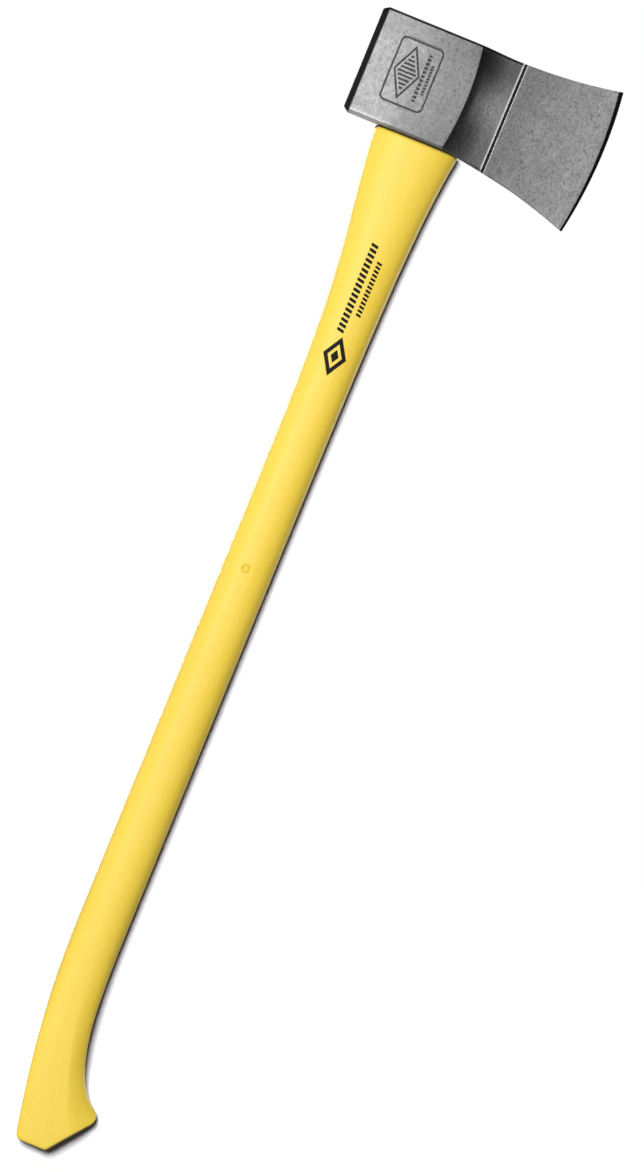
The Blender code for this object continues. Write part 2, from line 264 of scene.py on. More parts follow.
def cut(obj, cutters, angle):
    """Subtracts the cutters, which are then removed, and marks the sharp edges of what is left."""
    for cutter in cutters:
        modifier = obj.modifiers.new(cutter.name, "BOOLEAN")
        modifier.operation = "DIFFERENCE"
        modifier.solver = "EXACT"
        modifier.object = cutter
    evaluated = obj.evaluated_get(bpy.context.evaluated_depsgraph_get())
    mesh = bpy.data.meshes.new_from_object(evaluated)
    obj.modifiers.clear()
    obj.data = mesh
    for cutter in cutters:
        bpy.data.objects.remove(cutter)
    shade(obj, angle)


def arc_corner(before, corner, after, size, steps):
    """Points of a small curve that replaces a corner of a path of vectors."""
    into, out = before - corner, after - corner
    start = corner + into * min(size / np.linalg.norm(into), 0.45)
    end = corner + out * min(size / np.linalg.norm(out), 0.45)
    shares = np.linspace(0, 1, steps)
    return [start * (1 - s) ** 2 + corner * 2 * s * (1 - s) + end * s**2 for s in shares]


def rounded(path, size, steps=4):
    """The path with each inner corner replaced by a small curve."""
    path = [np.asarray(p, float) for p in path]
    out = [path[0]]
    for before, corner, after in zip(path, path[1:], path[2:]):
        out += arc_corner(before, corner, after, size, steps)
    return out + [path[-1]]


def spread(low, high, fine_low, fine_high):
    """Values from low to high, closely spaced from fine_low to fine_high."""
    parts = (
        np.linspace(low, fine_low, max(2, round((fine_low - low) / CHEEK_COARSE) + 1)),
        np.linspace(fine_low, fine_high, round((fine_high - fine_low) / CHEEK_FINE) + 1)[1:],
        np.linspace(fine_high, high, max(2, round((high - fine_high) / CHEEK_COARSE) + 1))[1:],
    )
    return np.concatenate(parts)


# ---- distances, for engraving and print


def box_distance(x, z, centre, half, radius=0.0):
    """Signed distance from a rounded rectangle."""
    across = np.abs(x - centre[0]) - (half[0] - radius)
    along = np.abs(z - centre[1]) - (half[1] - radius)
    outside = np.hypot(np.maximum(across, 0), np.maximum(along, 0))
    return outside + np.minimum(np.maximum(across, along), 0) - radius


def diamond_distance(x, z, centre, half):
    """Signed distance from a rhombus, near enough close to its sides."""
    a, b = half
    share = np.abs(x - centre[0]) / a + np.abs(z - centre[1]) / b - 1
    return share * a * b / math.hypot(a, b)


def line_mask(distance, width, soft):
    """1 on a line of this width along distance 0, falling to 0 over soft on both sides."""
    return smooth((width / 2 + soft / 2 - np.abs(distance)) / soft)


def fill_mask(distance, soft):
    """1 inside distance 0, falling to 0 outside it over soft."""
    return smooth((soft / 2 - distance) / soft)


# ---- head


def poll_line(z):
    return np.full_like(z, POLL_FACE_X)


def step_line(z):
    return STEP_FRONT_X - STEP_RADIUS + np.sqrt(STEP_RADIUS**2 - (z - STEP_CENTRE_Z) ** 2)


def groove_line(z):
    return GROOVE_FOOT_X + GROOVE_LEAN * z / HEAD_HEIGHT


def edge_line(z):
    return EDGE_FRONT_X - EDGE_RADIUS + np.sqrt(EDGE_RADIUS**2 - (z - EDGE_CENTRE_Z) ** 2)


LINES = (poll_line, step_line, groove_line, edge_line)


def head_top(x):
    dip = TOP_DIP * smooth((x - STEP_FRONT_X) / (TOP_CURVE_X - STEP_FRONT_X))
    run = np.maximum(x - TOP_CURVE_X, 0.0)
    return HEAD_HEIGHT - dip + TOP_CURVE_RADIUS - np.sqrt(TOP_CURVE_RADIUS**2 - run**2)


def head_foot(x):
    run = np.maximum(x - FALL_X, 0.0) / (GROOVE_FOOT_X - FALL_X)
    fall = FALL_DEPTH * run**FALL_POWER
    beard = HEEL_DROP * (np.maximum(x - BEARD_X, 0.0) / (HEEL_X - BEARD_X)) ** BEARD_POWER
    return -np.where(x < GROOVE_FOOT_X, fall, np.maximum(fall, beard))


class Station:
    """One section of the head, along a line that lies between two of its feature lines."""

    def __init__(
        self, line, share, offset, half, inset=0.0, bevels=0.0, chamfer=BODY_CHAMFER, black=0.0, bright=0.0
    ):
        self.line, self.share, self.offset, self.bevels = line, share, offset, bevels
        self.half, self.inset, self.chamfer = half, inset, chamfer
        self.black, self.bright = black, bright

    def x(self, z):
        behind, ahead = LINES[self.line](z), LINES[min(self.line + 1, 3)](z)
        return lerp(behind, ahead, self.share) + self.offset - self.bevels * bevel_width(z)


def bevel_width(z):
    """The sharpened bevel narrows from the top of the edge to its heel."""
    share = np.clip((z + HEEL_DROP) / (HEAD_HEIGHT + HEEL_DROP), 0, 1)
    return lerp(BEVEL_WIDTH_LOW, BEVEL_WIDTH_HIGH, share)


def cheek_half(x):
    """The cheek is a little crowned."""
    return CHEEK - CROWN * ((x - CROWN_CENTRE_X) / CROWN_REACH) ** 2


BADGE_CENTRE = (-27.0 * MM, 44.3 * MM)
BADGE_HALF = (17.1 * MM, 25.6 * MM)
BADGE_RADIUS = 4 * MM
BADGE_MARGIN = 2.0 * MM
BADGE_DEPTH = 0.42 * MM
BADGE_LINE = 1.05 * MM
BADGE_SOFT = 0.50 * MM
EMBLEM_CENTRE = (-31.3 * MM, 44.3 * MM)
EMBLEM_HALF = (10.0 * MM, 20.5 * MM)
STRIPED_HALF = (7.4 * MM, 15.2 * MM)
STRIPE_WIDTH = 1.3 * MM
STRIPE_PITCH = 3.2 * MM
BADGE_ROWS = ((-18.6, 2.6, 19.0, 3.4), (-14.0, 1.9, 12.0, 2.6))  # x, width, reach and pitch in mm
BADGE_DASH_SHARE = 0.58


def badge(x, z):
    """How deeply the cheek is engraved, from 0 to 1: with a frame, a striped diamond and rows of dashes."""
    outer = diamond_distance(x, z, EMBLEM_CENTRE, EMBLEM_HALF)
    inner = diamond_distance(x, z, EMBLEM_CENTRE, STRIPED_HALF)
    from_stripe = (z - EMBLEM_CENTRE[1] + STRIPE_PITCH / 2) % STRIPE_PITCH - STRIPE_PITCH / 2
    marks = [
        line_mask(box_distance(x, z, BADGE_CENTRE, BADGE_HALF, BADGE_RADIUS), BADGE_LINE, BADGE_SOFT),
        line_mask(outer, BADGE_LINE, BADGE_SOFT),
        fill_mask(inner, BADGE_SOFT) * line_mask(from_stripe, STRIPE_WIDTH, BADGE_SOFT),
    ]
    for place, width, reach, pitch in BADGE_ROWS:
        row = box_distance(x, z, (place * MM, BADGE_CENTRE[1]), (width / 2 * MM, reach * MM))
        from_dash = (z - BADGE_CENTRE[1]) % (pitch * MM) - pitch / 2 * MM
        dash = line_mask(from_dash, BADGE_DASH_SHARE * pitch * MM, BADGE_SOFT)
        marks.append(fill_mask(row, BADGE_SOFT) * dash)
    return np.clip(sum(marks), 0, 1)


def poll_stations():
    """The rim of the poll face and its chamfer, which is painted black as a dark reflection."""
    edge = cheek_half(POLL_FACE_X + POLL_CHAMFER)
    flank = edge - POLL_CHAMFER
    beyond = POLL_SHADE_RUN
    path = (
        (0, flank - beyond, POLL_CORNER + beyond),
        (0, flank, POLL_CORNER),
        (POLL_CHAMFER, edge, 0),
        (POLL_CHAMFER + beyond, cheek_half(POLL_FACE_X + POLL_CHAMFER + beyond), 0),
    )
    stations = []
    for offset, half, inset in rounded(path, POLL_ROUND):
        on_face = offset <= 0.1 * MM
        # painted dark reflection on the chamfer, fading out just beyond it
        black = 0.0 if on_face else smooth((POLL_CHAMFER + beyond - offset) / beyond)
        stations.append(Station(0, 0, offset, half, inset, black=black))
    return stations


def cheek_stations():
    """The cheek, closely spaced where the badge is, with painted shade that grows darker towards the step."""
    start = POLL_CHAMFER + POLL_SHADE_RUN
    left, right = BADGE_CENTRE[0] - BADGE_HALF[0], BADGE_CENTRE[0] + BADGE_HALF[0]
    places = spread(POLL_FACE_X + start, STEP_FRONT_X - CHEEK_END, left - BADGE_MARGIN, right + BADGE_MARGIN)
    shares = (places - places[0]) / (STEP_FRONT_X - places[0])
    stations = []
    for share, x in zip(shares[1:], places[1:]):
        black = CHEEK_BLACK * smooth((x - CHEEK_BLACK_X) / CHEEK_BLACK_RUN)
        stations.append(Station(0, share, start * (1 - share), cheek_half(x), black=black))
    return stations


def hollow_half(share):
    return ROOT_HALF + (cheek_half(STEP_FRONT_X) - ROOT_HALF) * (1 - share) ** HOLLOW_POWER


def hollow_stations():
    """The rounded step and the concave fall to the groove, with painted shade that is darkest beside the
    step.
    """
    lips = GROOVE_HALF + GROOVE_LIP
    edge = cheek_half(STEP_FRONT_X)
    stations = [Station(1, 0, offset, edge - drop, black=black) for offset, drop, black in STEP_NOSE]
    for i in range(1, HOLLOW_SECTIONS):
        share = i / HOLLOW_SECTIONS
        black = HOLLOW_BLACK + HOLLOW_BLACK_STEP * (1 - share) ** 1.8
        black += HOLLOW_BLACK_GROOVE * smooth((share - 0.7) / 0.2)
        stations.append(Station(1, share, -lips * share, hollow_half(share), black=black))
    return stations


def groove_stations():
    """The groove, painted black inside as shade, between its two lips, which are painted bright as
    highlights.
    """
    edge = -GROOVE_HALF - GROOVE_LIP
    behind = (
        (edge, ROOT_HALF),
        (edge + GROOVE_WALL_RUN, ROOT_HALF + LIP_RISE),
        (-GROOVE_HALF, ROOT_HALF + LIP_RISE),
        (-GROOVE_HALF + GROOVE_WALL_RUN, ROOT_HALF - GROOVE_DEPTH),
    )
    path = behind + tuple((-offset, half) for offset, half in behind[::-1])
    stations = []
    for offset, half in rounded(path, GROOVE_ROUND, steps=3):
        inside = abs(offset) < GROOVE_HALF - 0.02 * MM
        chamfer = BODY_CHAMFER if offset < 0 else BLADE_CHAMFER
        # painted shade inside the groove and painted highlights on the lips
        black, bright = float(inside), float(not inside)
        stations.append(Station(2, 0, offset, half, chamfer=chamfer, black=black, bright=bright))
    return stations


def blade_stations():
    """The hollow-ground taper of the blade, with painted shade that is darker beside the groove, the
    sharpened bevel, painted black as a dark reflection, and the edge.
    """
    lips = GROOVE_HALF + GROOVE_LIP
    stations = []
    for i in range(1, BLADE_SECTIONS + 1):
        share = i / BLADE_SECTIONS
        fall = share + BLADE_HOLLOW * share * (1 - share)
        offset = lips * (1 - share) - (BLADE_END if i == BLADE_SECTIONS else 0)
        half = lerp(ROOT_HALF, BEVEL_HALF, fall)
        black = BLADE_BLACK + BLADE_BLACK_GROOVE * (1 - share) ** 2
        stations.append(Station(2, share, offset, half, bevels=share, chamfer=BLADE_CHAMFER, black=black))
    # the bevel and edge are painted black as a dark reflection, all but the last land
    for offset, half, bevels, black in (
        (0.25 * MM, BEVEL_HALF - 0.06 * MM, 1.0, 1.0),
        (0.0, (BEVEL_HALF + EDGE_LAND) / 2, 0.5, 1.0),
        (-0.35 * MM, EDGE_LAND + 0.20 * MM, 0.0, 1.0),
        (-0.05 * MM, EDGE_LAND + 0.03 * MM, 0.0, 1.0),
        (0.0, EDGE_LAND * 0.5, 0.0, 0.0),
    ):
        stations.append(Station(2, 1, offset, half, bevels=bevels, chamfer=BLADE_CHAMFER, black=black))
    return stations


def cheek_shares():
    """Places up the cheek, close together where the badge is."""
    low, high = BADGE_CENTRE[1] - BADGE_HALF[1], BADGE_CENTRE[1] + BADGE_HALF[1]
    return spread(0, HEAD_HEIGHT, low - BADGE_MARGIN, high + BADGE_MARGIN) / HEAD_HEIGHT


def up_the_section(station, shares, chamfer):
    """(x, z) up the side of the section, between its chamfers, which the head's curved outline bounds."""
    z = shares * HEAD_HEIGHT
    for _ in range(5):
        x = station.x(z)
        low = head_foot(x) + station.inset + chamfer
        high = head_top(x) - station.inset - chamfer
        z = low + (high - low) * shares
    return x, z


def chamfer_points(station, x, end, beside, chamfer, outwards):
    """The chamfer at a section's foot (outwards -1) or top (1). Its side goes from z = beside to z = end."""
    rim = min(RIM_ROUND, chamfer * 0.3)
    inner, beyond = station.half - chamfer, end + outwards * chamfer
    path = ((station.half, beside), (station.half, end), (inner, beyond), (inner - 2 * rim, beyond))
    points = np.array(rounded(path, rim, steps=3)[1:])[::outwards]
    return np.column_stack([np.full(len(points), x), -points[:, 0], points[:, 1]])


def black_of(station, z, wear_and_sheen, engraved, n_foot, n_top):
    """The painted shade and dark reflections (black) round the half section. Forward of the blade the top
    chamfer is painted black all along, as a dark reflection.
    """
    rim = np.full(n_top, station.black)
    top_shade = 0
    if station.line < 2:
        # painted dark reflection on the top chamfer
        rim[1:5] = 1.0
        # painted shade towards the top
        top_shade = TOP_SHADE_BLACK * smooth((z - TOP_SHADE_Z) / TOP_SHADE_RUN)
    # the engraved lines get painted shade
    side = np.maximum(station.black * (1 - wear_and_sheen) + top_shade, ENGRAVED_BLACK * engraved)
    return np.concatenate([np.full(n_foot, station.black), side, rim])


def bright_of(station, x_foot, z, wear_and_sheen, n_foot, n_top):
    """The painted highlights (bright) round the half section: the groove's lips, the middle of the hollow,
    the low part of the poll's cheeks, and the poll's lower chamfer, painted bright as a reflection of light
    from below.
    """
    side = np.maximum(station.bright, SHEEN_BRIGHT * wear_and_sheen)
    foot = np.full(n_foot, station.bright)
    # painted highlight low on the poll and painted reflection on its lower chamfer
    if station.line == 0:
        low_shine = smooth((LOW_SHINE_X - x_foot) / LOW_SHINE_RUN) * (1 - station.black)
        side = np.maximum(side, LOW_SHINE_SIDE * low_shine * smooth((LOW_SHINE_Z - z) / LOW_SHINE_RISE))
        foot[:] = LOW_SHINE_FOOT * low_shine
    return np.concatenate([foot, side, np.full(n_top, station.bright)])


def sheen_share(station, z):
    """How much painted highlight the middle of the hollow gets at heights z."""
    if station.line != 1:
        return np.zeros_like(z)
    along = smooth((station.share - 0.08) / 0.2) * (1 - 0.75 * smooth((station.share - 0.5) / 0.4))
    return SHEEN * np.exp(-(((z - SHEEN_Z) / SHEEN_REACH) ** 2)) * along


def head_half_ring(station, shares):
    """(points, black, bright) of the -Y half of the head's section at a station."""
    chamfer = min(station.chamfer, station.half * 0.7)
    x, z = up_the_section(station, shares, chamfer)
    foot = chamfer_points(station, x[0], z[0], z[1], chamfer, -1)
    top = chamfer_points(station, x[-1], z[-1], z[-2], chamfer, 1)
    on_cheek = station.line == 0 and station.offset > 0 and station.share < 0.9
    engraved = badge(x, z)[1:-1] if on_cheek else np.zeros(len(z) - 2)
    side = np.column_stack([x[1:-1], -(station.half - BADGE_DEPTH * engraved), z[1:-1]])
    wear_and_sheen = sheen_share(station, z[1:-1])
    black = black_of(station, z[1:-1], wear_and_sheen, engraved, len(foot), len(top))
    bright = bright_of(station, x[0], z[1:-1], wear_and_sheen, len(foot), len(top))
    return np.vstack([foot, side, top]), black, bright


def eye_section(z):
    """(half length, half width) of the eye at a height."""
    (z0, long0, wide0), (z1, long1, wide1) = EYE_LEVELS[:2] if z <= EYE_WAIST else EYE_LEVELS[1:]
    share = (z - z0) / (z1 - z0)
    return lerp(long0, long1, share), lerp(wide0, wide1, share)


def across_section():
    """Where a section's points lie across it, from -1 at its -X end to 1 at its +X end."""
    return -np.cos(np.pi * np.arange(SECTION_SEGMENTS + 1) / SECTION_SEGMENTS)


def oval(centre_x, half_x, half_y, power, z):
    """The -Y half of a superellipse, from its -X end round to its +X end."""
    across = across_section()
    width = (1 - np.minimum(np.abs(across), 1.0) ** power) ** (1 / power)
    return np.column_stack([centre_x + half_x * across, -half_y * width, np.full(len(across), z)])


def eye_cutter():
    """The eye with a small chamfer at its top and bottom rims."""
    rim, beyond = EYE_RIM, 3 * MM
    levels = ((-beyond, rim + beyond), (0.0, rim), (rim, 0.0), (EYE_WAIST, 0.0))
    levels += ((HEAD_HEIGHT - rim, 0.0), (HEAD_HEIGHT + beyond, rim + beyond))
    halves = []
    for z, wider in levels:
        long, wide = eye_section(z)
        halves.append(oval(EYE_X, long + wider, wide + wider, EYE_POWER, z))
    return loft("eye_cutter", halves)


def build_head():
    """The forging, lofted from section to section and cut by the eye."""
    stations = poll_stations() + cheek_stations() + hollow_stations() + groove_stations() + blade_stations()
    shares = cheek_shares()
    halves, black, bright = zip(*(head_half_ring(s, shares) for s in stations))
    head = loft("head_forging", halves)
    point_attribute(head, "black", np.concatenate([np.concatenate([b, b[::-1]]) for b in black]))
    point_attribute(head, "bright", np.concatenate([np.concatenate([b, b[::-1]]) for b in bright]))
    cut(head, [eye_cutter()], angle=35)
    head.data.materials.clear()
    head.data.materials.append(forged_steel())
    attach(head, "root")
    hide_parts("axe_head")


# ---- handle


def back_edge(z):
    """x of the handle's rear edge, above the bend."""
    return -SHAFT_HALF_X - BACK_FLARE * np.exp(-(np.abs(z) / BACK_FLARE_LENGTH) ** BACK_FLARE_POWER)


def front_edge(z):
    """x of the handle's front edge, above the bend."""
    return SHAFT_HALF_X + FRONT_FLARE * np.exp(z / FRONT_FLARE_LENGTH)


def shaft_half_y(z):
    """Half the shaft's thickness, which swells to the shoulder's."""
    swell = np.exp(-((z / THICKNESS_FLARE_LENGTH) ** 2))
    return lerp(SHAFT_HALF_Y, SHOULDER_HALF_Y, swell)


def with_parting_line(half):
    """The half section with a low ridge where the mould halves meet, at both of its ends."""
    tips, bases = [], []
    for end, inner in ((half[0], half[1]), (half[-1], half[-2])):
        outwards = (end - inner) * (1, 0, 1)
        size = np.linalg.norm(outwards)
        tips.append(end + outwards / size * PARTING_RISE if size > 1e-9 else end)
        bases.append(lerp(end, inner, min(PARTING_HALF / max(abs(inner[1]), 1e-6), 0.5)))
    return np.vstack([tips[0], bases[0], half[1:-1], bases[1], tips[1]])


def shaft_half(z, shrink=0.0):
    """The -Y half of the shaft's section at a height, drawn in by shrink all round."""
    back, front = back_edge(z) + shrink, front_edge(z) - shrink
    half_y = shaft_half_y(z) - shrink
    return oval((back + front) / 2, (front - back) / 2, half_y, SHAFT_POWER, z)


def bezier(points, share):
    """The point at a share of the way along a cubic curve."""
    a, b, c, d = (np.asarray(p) for p in points)
    rest = 1 - share
    return a * rest**3 + b * 3 * rest**2 * share + c * 3 * rest * share**2 + d * share**3


# The foot's rear and front edges below the bend, as (x, z) of cubic curves
BACK_FOOT = np.array(
    [(-SHAFT_HALF_X, BEND_Z), (-19.8 * MM, -710 * MM), (-15.0 * MM, -755 * MM), (-2.2 * MM, BUTT_Z + 11 * MM)]
)
FRONT_FOOT = np.array(
    [(SHAFT_HALF_X, BEND_Z), (18.8 * MM, -748 * MM), (27.0 * MM, -772 * MM), (48.6 * MM, BUTT_Z + 42.4 * MM)]
)

# Curves along the sole, from the rear edge's end to the front edge's, as (x, height over the butt) in mm
SOLE = (
    ((-2.2, 11.0), (-1.0, 3.0), (-0.2, 0.0), (5.0, 0.0)),
    ((5.0, 0.0), (12.0, 0.0), (17.0, 0.0), (22.5, 0.0)),
    ((22.5, 0.0), (24.8, 0.0), (25.6, 0.8), (27.0, 2.6)),
    ((27.0, 2.6), (35.0, 13.1), (43.0, 22.7), (50.0, 31.3)),
    ((50.0, 31.3), (52.8, 35.0), (52.5, 39.8), (48.6, 42.4)),
)


def sole_outline(shares):
    """Points on the sole's outline, by their share of its length."""
    fine = np.array([bezier(piece, i / 40) for piece in SOLE for i in range(41)]) * MM + (0, BUTT_Z)
    runs = np.concatenate([[0.0], np.cumsum(np.linalg.norm(np.diff(fine, axis=0), axis=1))])
    at = shares * runs[-1]
    return np.column_stack([np.interp(at, runs, fine[:, 0]), np.interp(at, runs, fine[:, 1])])


def foot_half(along, thinner=0.0):
    """The -Y half of a section of the foot, which turns from level, at 0, to the sole's outline, at 1."""
    across = across_section()
    share = ((across + 1) / 2)[:, None]
    straight = lerp(bezier(BACK_FOOT, along), bezier(FRONT_FOOT, along), share)
    point = straight + (sole_outline(share[:, 0]) - lerp(BACK_FOOT[-1], FRONT_FOOT[-1], share)) * along
    half_y = lerp(SHAFT_HALF_Y, BUTT_HALF_Y, smooth(along)) * (1 - thinner)
    turned = smooth(along * FOOT_TURN)
    power = lerp(SHAFT_POWER, np.where(across > 0, FOOT_FRONT_POWER, FOOT_POWER), turned)
    flat = np.where(across > 0, FOOT_FLAT * turned, 0.0)
    curved = np.clip((np.abs(across) - flat) / (1 - flat), 0.0, 1.0)
    width = (1 - curved**power) ** (1 / power)
    return np.column_stack([point[:, 0], -half_y * width, point[:, 1]])


def shoulder_halves():
    """The shoulder's rounded top."""
    halves = []
    for turn in np.linspace(0, math.pi / 2, 8):
        z = SHOULDER_TOP - SHOULDER_ROUND * (1 - math.cos(turn))
        halves.append(shaft_half(z, SHOULDER_ROUND * (1 - math.sin(turn))))
    return halves


def sink_plug(half):
    """The section with the dimple round the pin plug."""
    run = np.hypot(half[:, 0] - PLUG_X, half[:, 2] - PLUG_Z)
    half[:, 1] += DIMPLE_DEPTH * smooth((DIMPLE_RADIUS - run) / (DIMPLE_RADIUS - PLUG_RADIUS))
    return half


def shaft_halves():
    """The shaft down to the bend, closely spaced at the pin plug."""
    above, below = PLUG_Z + 10 * MM, PLUG_Z - 10 * MM
    heights = np.concatenate(
        [
            np.linspace(-6 * MM, above, 56),
            np.linspace(PLUG_Z + 4.5 * MM, PLUG_Z - 4.5 * MM, 24),
            np.linspace(below, BEND_Z + 4 * MM, 40),
        ]
    )
    return [sink_plug(shaft_half(z)) for z in heights]


def foot_halves():
    """The foot, with the fillet round its sole."""
    halves = [foot_half(along) for along in np.linspace(0, 0.95, 60)]
    for turn in np.linspace(0, math.pi / 2, 10):
        back = SOLE_FILLET * (1 - math.sin(turn)) * SOLE_FILLET_SHARE
        thinner = SOLE_FILLET * (1 - math.cos(turn)) / BUTT_HALF_Y
        halves.append(foot_half(1 - back, thinner))
    return halves


def tongue_halves():
    """The tongue in the eye, from its top down to the shoulder."""
    long, wide = eye_section(EYE_WAIST)
    long, wide = long - TONGUE_WALL, wide - TONGUE_WALL
    soft = 0.5 * MM
    turn = 0.3 * soft
    levels = ((TONGUE_TOP, soft), (TONGUE_TOP - turn, turn), (TONGUE_TOP - soft, 0.0), (SHOULDER_TOP, 0.0))
    return [oval(EYE_X, long - less, wide - less, EYE_POWER, z) for z, less in levels]


def round_cutter(name, profile, side):
    """A body turned about the pin hole's axis: profile gives (radius, distance out along Y)."""
    steps = TURNED_SEGMENTS
    angles = 2 * math.pi * np.arange(steps) / steps
    points = []
    for radius, out in profile:
        x, z = PLUG_X + radius * np.cos(angles), PLUG_Z + radius * np.sin(angles)
        points.append(np.column_stack([x, np.full(steps, side * out), z]))
    faces = []
    for i in range(len(profile) - 1):
        faces += ring_faces(i * steps, (i + 1) * steps, steps)
    last = (len(profile) - 1) * steps
    faces += [list(range(steps)), list(range(last, last + steps))]
    obj = mesh_object(name, np.vstack(points), faces)
    face_outwards(obj)
    return obj


def build_jacket():
    """One moulding: up the hole for the rod, over the tongue's top and down the outside to the sole."""
    hole_x, hole_y = CORE_HIGH.x + CORE_CLEARANCE, CORE_HIGH.y + CORE_CLEARANCE
    hole = [oval(0.0, hole_x, hole_y, 2.0, z) for z in (CORE_LOW.z - CORE_CLEARANCE, TONGUE_TOP)]
    outside = tongue_halves() + shoulder_halves() + shaft_halves() + foot_halves()
    jacket = loft("jacket_moulding", [with_parting_line(half) for half in hole + outside])
    hole_radius = PLUG_RADIUS + HOLE_CLEARANCE
    profile = ((hole_radius, CORE_HIGH.y + 0.4 * MM), (hole_radius, SHAFT_HALF_Y + 2 * MM))
    cut(jacket, [round_cutter("pin_hole_cutter", profile, side) for side in (-1, 1)], angle=50)
    jacket.data.materials.clear()
    jacket.data.materials.append(yellow_plastic())
    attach(jacket, "root")
    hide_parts("handle_jacket")
    return jacket


def build_plugs():
    """The plugs over the pin holes: low domes at the bottom of a dimple."""
    top = SHAFT_HALF_Y - 0.15 * MM
    shares = np.linspace(1, 0.04, 9)
    profile = [(PLUG_RADIUS, CORE_HIGH.y + 0.5 * MM), (PLUG_RADIUS, top - 0.85 * MM)]
    profile += [(PLUG_RADIUS * share * 0.94, top - 0.75 * MM * share**2.2) for share in shares]
    for side, name in ((-1, "core_pin_plug_front"), (1, "core_pin_plug_back")):
        plug = round_cutter("pin_plug_" + name.split("_")[-1], profile, side)
        shade(plug)
        plug.data.materials.append(yellow_plastic())
        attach(plug, "root")
        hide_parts(name)


def build_core():
    """The rod, whose sawn top end shows between the tongue's halves."""
    half_x, half_y = CORE_HIGH.x, CORE_HIGH.y
    soft = 0.4 * MM
    levels = ((CORE_LOW.z, 0.0), (CORE_HIGH.z - soft, 0.0), (CORE_HIGH.z, soft))
    core = loft("fibreglass_rod", [oval(0.0, half_x - less, half_y - less, 2.0, z) for z, less in levels])
    core.data.materials.append(fibreglass())
    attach(core, "root")
    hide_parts("handle_core")


def build_epoxy():
    """The casting between the tongue and the eye, with the meniscus of its poured top."""
    gap = EPOXY_CLEARANCE
    inner_long, inner_wide = (size - TONGUE_WALL + gap for size in eye_section(EYE_WAIST))
    low, top = gap, EPOXY_HIGH.z - 0.1 * MM
    halves = []
    for z in (low, EYE_WAIST, top - 1.2 * MM):
        long, wide = eye_section(z)
        halves.append(oval(EYE_X, long - gap, wide - gap, EYE_POWER, z))
    long, wide = (size - gap for size in eye_section(top))
    for share in np.linspace(0, 1, 9):
        climb = (2 * share - 1) ** 2
        z = top - 0.8 * MM * (1 - climb**1.5) - 0.35 * MM * share
        halves.append(oval(EYE_X, lerp(long, inner_long, share), lerp(wide, inner_wide, share), EYE_POWER, z))
    halves.append(oval(EYE_X, inner_long, inner_wide, EYE_POWER, low))
    epoxy = loft("epoxy_casting", halves, closed=True)
    epoxy.data.materials.append(cast_epoxy())
    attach(epoxy, "root")
    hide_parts("eye_epoxy")


def build_seal():
    """The ring under the head, squeezed out a little unevenly, with a bead at the shoulder's rear corner."""
    gap = SEAL_CLEARANCE
    inner_long, inner_wide = (size - TONGUE_WALL + 0.25 * MM for size in eye_section(EYE_WAIST))
    low = SHOULDER_TOP + gap
    inner = oval(EYE_X, inner_long, inner_wide, EYE_POWER, low)
    edge = shaft_half(SHOULDER_TOP, SHOULDER_ROUND)
    middle = edge.mean(axis=0)
    out = edge - (middle[0], 0, middle[2])
    out[:, 2] = 0
    out /= np.linalg.norm(out, axis=1)[:, None]
    turn = np.linspace(0, math.pi, len(edge))
    rear = np.exp(-((turn / 0.22) ** 2))
    front = np.exp(-(((math.pi - turn) / 0.35) ** 2))
    uneven = 0.5 + 0.2 * np.sin(7 * turn + 1) + 0.12 * np.sin(17 * turn)
    squeeze = uneven * (1 - 0.8 * front) + SEAL_BEAD * rear
    halves = []
    for share in np.linspace(0, 1, 9):
        bulge = math.sin(math.pi * share) ** 0.7
        outer = edge + out * (squeeze * bulge * MM)[:, None]
        top = head_foot(outer[:, 0]) - gap
        outer[:, 2] = lerp(low, top, share) - SEAL_BEAD_DROP * rear * bulge * (1 - share)
        halves.append(outer)
    inner_top = inner.copy()
    inner_top[:, 2] = head_foot(inner[:, 0]) - gap
    seal = loft("seal_ring", halves + [inner_top, inner], closed=True)
    seal.data.materials.append(black_rubber())
    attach(seal, "root")
    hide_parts("shoulder_seal")


# ---- print on the handle

PRINT_RISE = 0.05 * MM
PRINT_SINK = 0.10 * MM
PRINT_COLUMNS, PRINT_ROWS = 10, 6
DASH_SHARE = 0.60
DIAMOND_CORE = 0.55


def face_depth(x, z):
    """How far the handle's face is from Y = 0 at a point of the shaft."""
    back, front = back_edge(z), front_edge(z)
    across = (x - (back + front) / 2) / ((front - back) / 2)
    return shaft_half_y(z) * (1 - np.abs(across) ** SHAFT_POWER) ** (1 / SHAFT_POWER)


def print_patch(corners):
    """(points, faces) of a thin plate on the shaft's -Y face, from the corners of a quadrilateral."""
    columns, rows = PRINT_COLUMNS, PRINT_ROWS
    a, b, c, d = (np.asarray(p) * MM for p in corners)
    u, v = np.meshgrid(np.linspace(0, 1, columns + 1), np.linspace(0, 1, rows + 1))
    u, v = u.ravel()[:, None], v.ravel()[:, None]
    flat = lerp(lerp(a, b, u), lerp(d, c, u), v)
    depth = face_depth(flat[:, 0], flat[:, 1])
    top = np.column_stack([flat[:, 0], -(depth + PRINT_RISE), flat[:, 1]])
    bottom = np.column_stack([flat[:, 0], -(depth - PRINT_SINK), flat[:, 1]])
    wide = columns + 1
    count = wide * (rows + 1)
    faces = []
    for i in (r * wide + k for r in range(rows) for k in range(columns)):
        quad = (i, i + 1, i + wide + 1, i + wide)
        faces += [quad, tuple(count + n for n in quad[::-1])]
    rim = list(range(wide)) + [r * wide + columns for r in range(1, rows + 1)]
    rim += [rows * wide + k for k in range(columns - 1, -1, -1)] + [r * wide for r in range(rows - 1, 0, -1)]
    for i, j in zip(rim, rim[1:] + rim[:1]):
        faces.append((i, count + i, count + j, j))
    return np.vstack([top, bottom]), faces


